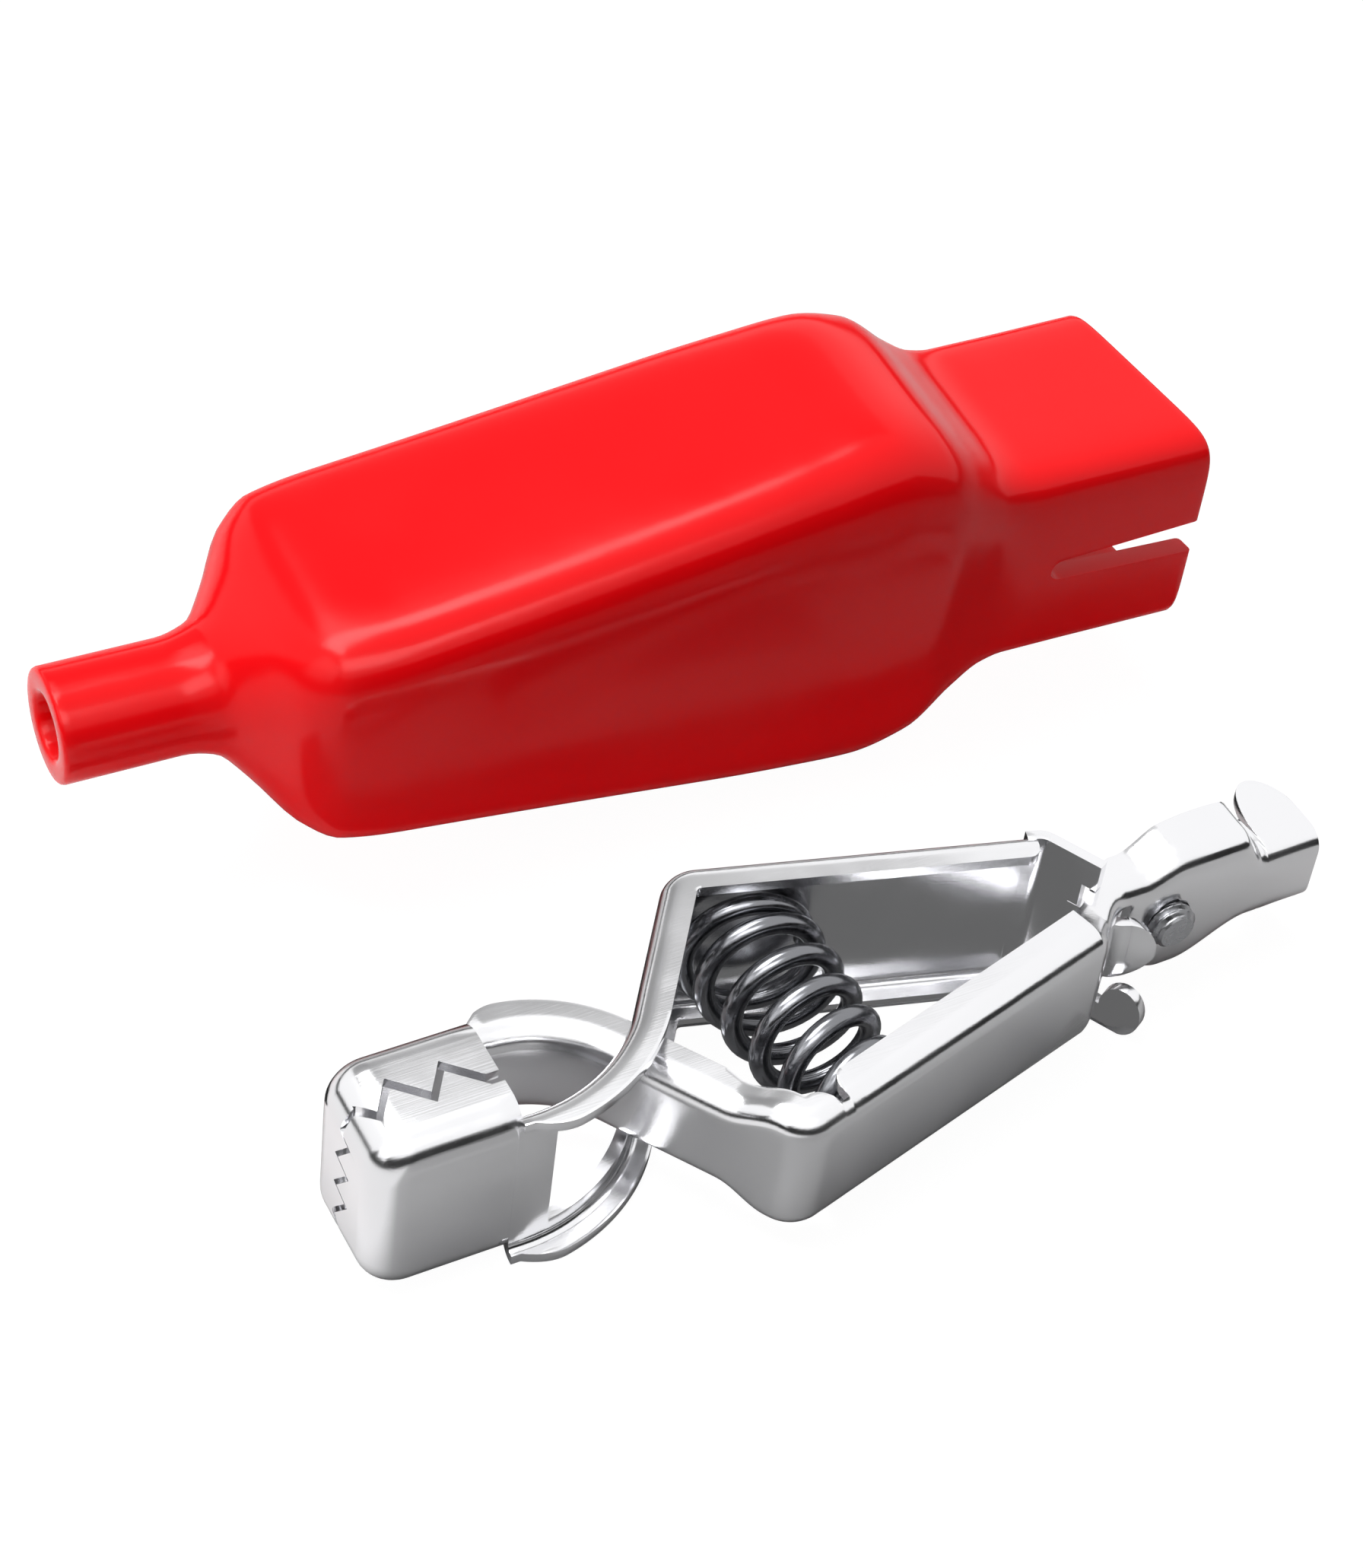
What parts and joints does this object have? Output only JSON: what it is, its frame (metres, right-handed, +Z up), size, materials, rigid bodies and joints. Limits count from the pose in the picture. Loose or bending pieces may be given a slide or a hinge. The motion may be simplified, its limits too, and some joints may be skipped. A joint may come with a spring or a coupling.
{
  "type": "crocodile clip",
  "caption": "Crocodile clip of crossed folded-metal levers with interlocking toothed jaws, a coil spring, a screw terminal and its soft boot lying beside it.",
  "frame": {"origin": "middle of the overall box at the table", "axes": "+X from the clip's nose to its tail, +Y from the clip to the boot behind it, +Z up across the clip's width"},
  "size_m": [0.0844, 0.0586, 0.0301],
  "materials": {
    "lever_steel": "polished nickel plate",
    "spring_steel": "dark bright wire",
    "screw_steel": "plated",
    "boot_vinyl": "glossy soft vinyl"
  },
  "bodies": {
    "tail": {"tail_lever": "lever_steel", "spring": "spring_steel"},
    "windowed": {"windowed_lever": "lever_steel"},
    "screw": {"terminal_screw": "screw_steel"},
    "boot": {"boot": "boot_vinyl"}
  },
  "joints": [
    {"name": "squeeze", "type": "hinge", "parent": "tail", "child": "windowed", "pos_m": [0.01972, -0.01864, 0.007], "axis": [0, 0, 1], "range_deg": [0, 14], "stiffness_Nm_per_rad": 0.5, "springref_deg": -20.05, "deforming": ["spring"]},
    {"name": "screw_turn", "type": "hinge", "parent": "tail", "child": "screw", "pos_m": [0.02481, -0.01854, 0.007], "axis": [-0.0175, 0.9998, 0], "continuous": true},
    {"name": "boot_lift", "type": "slide", "parent": "tail", "child": "boot", "axis": [0, 0, 1], "range_m": [0, 0.04]}
  ]
}
